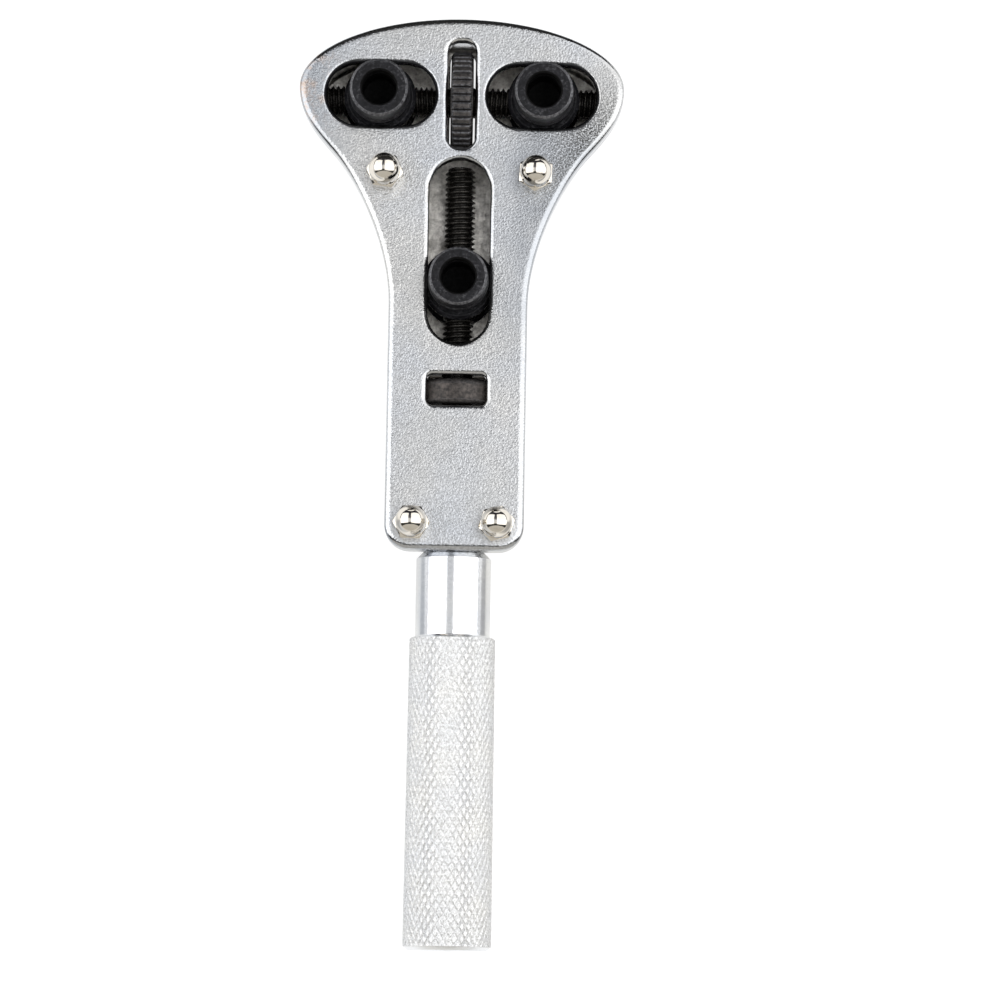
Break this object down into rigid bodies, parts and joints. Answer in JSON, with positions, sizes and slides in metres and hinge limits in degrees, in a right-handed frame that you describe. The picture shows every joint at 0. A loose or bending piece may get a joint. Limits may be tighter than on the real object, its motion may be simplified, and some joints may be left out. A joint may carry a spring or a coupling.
{
  "type": "watch case back opener",
  "caption": "Adjustable jaw wrench for screw-down watch case backs: two metal covers hold screw-driven socket jaws, toothed thumbwheels and a knurled handle.",
  "frame": {"origin": "middle of the overall length and width, on the surface that the heads of the cover bolts rest on", "axes": "+Y along the tool from the handle to the head, +Z out of the front cover towards the jaws, +X across the head"},
  "size_m": [0.0622, 0.178, 0.0278],
  "materials": {
    "satin_chrome": "satin plated casting with a fine orange peel texture",
    "polished_nickel": "mirror polished nickel plating",
    "black_oxide": "black oxide on turned steel",
    "dark_steel": "darkened steel, lightly oiled",
    "screw_steel": "dark oiled thread",
    "turned_aluminium": "bright turned and knurled",
    "zinc_steel": "bright zinc plating",
    "bearing_brass": "plain turned brass"
  },
  "bodies": {
    "housing": {"front_cover": "satin_chrome", "rear_cover": "satin_chrome", "upper_left_cover_bolt": "zinc_steel", "upper_right_cover_bolt": "zinc_steel", "lower_left_cover_bolt": "zinc_steel", "lower_right_cover_bolt": "zinc_steel", "upper_left_cap_nut": "polished_nickel", "upper_right_cap_nut": "polished_nickel", "lower_left_cap_nut": "polished_nickel", "lower_right_cap_nut": "polished_nickel", "left_screw_bearing": "bearing_brass", "right_screw_bearing": "bearing_brass", "lower_front_bearing": "bearing_brass", "lower_thrust_bearing": "bearing_brass", "tail_block": "zinc_steel", "handle_stud": "zinc_steel", "handle": "turned_aluminium"},
    "upper_drive": {"upper_screw": "screw_steel", "upper_thumbwheel": "dark_steel"},
    "left_jaw": {"left_jaw_carriage": "black_oxide", "left_jaw_socket": "black_oxide", "left_bit_ring": "screw_steel"},
    "right_jaw": {"right_jaw_carriage": "black_oxide", "right_jaw_socket": "black_oxide", "right_bit_ring": "screw_steel"},
    "lower_drive": {"lower_screw": "screw_steel", "lower_thumbwheel": "dark_steel", "lower_screw_clip": "zinc_steel"},
    "lower_jaw": {"lower_jaw_carriage": "black_oxide", "lower_jaw_socket": "black_oxide", "lower_bit_ring": "screw_steel"}
  },
  "joints": [
    {"name": "upper_thumbwheel_turn", "type": "hinge", "parent": "housing", "child": "upper_drive", "pos_m": [0, 0.0741, 0.0107], "axis": [1, 0, 0], "range_deg": [-1728, 1548]},
    {"name": "left_jaw_slide", "type": "slide", "parent": "housing", "child": "left_jaw", "axis": [-1, 0, 0], "range_m": [-0.00481, 0.00431]},
    {"name": "right_jaw_slide", "type": "slide", "parent": "housing", "child": "right_jaw", "axis": [1, 0, 0], "range_m": [-0.00481, 0.00431]},
    {"name": "lower_thumbwheel_turn", "type": "hinge", "parent": "housing", "child": "lower_drive", "pos_m": [0, 0, 0.0107], "axis": [0, -1, 0], "range_deg": [-2088, 6264]},
    {"name": "lower_jaw_slide", "type": "slide", "parent": "housing", "child": "lower_jaw", "axis": [0, 1, 0], "range_m": [-0.00581, 0.01741]}
  ],
  "couplings": [
    {"joint": "left_jaw_slide", "follows": "upper_thumbwheel_turn", "m_per_rad": 0.00015915},
    {"joint": "right_jaw_slide", "follows": "upper_thumbwheel_turn", "m_per_rad": 0.00015915},
    {"joint": "lower_jaw_slide", "follows": "lower_thumbwheel_turn", "m_per_rad": 0.00015915}
  ]
}
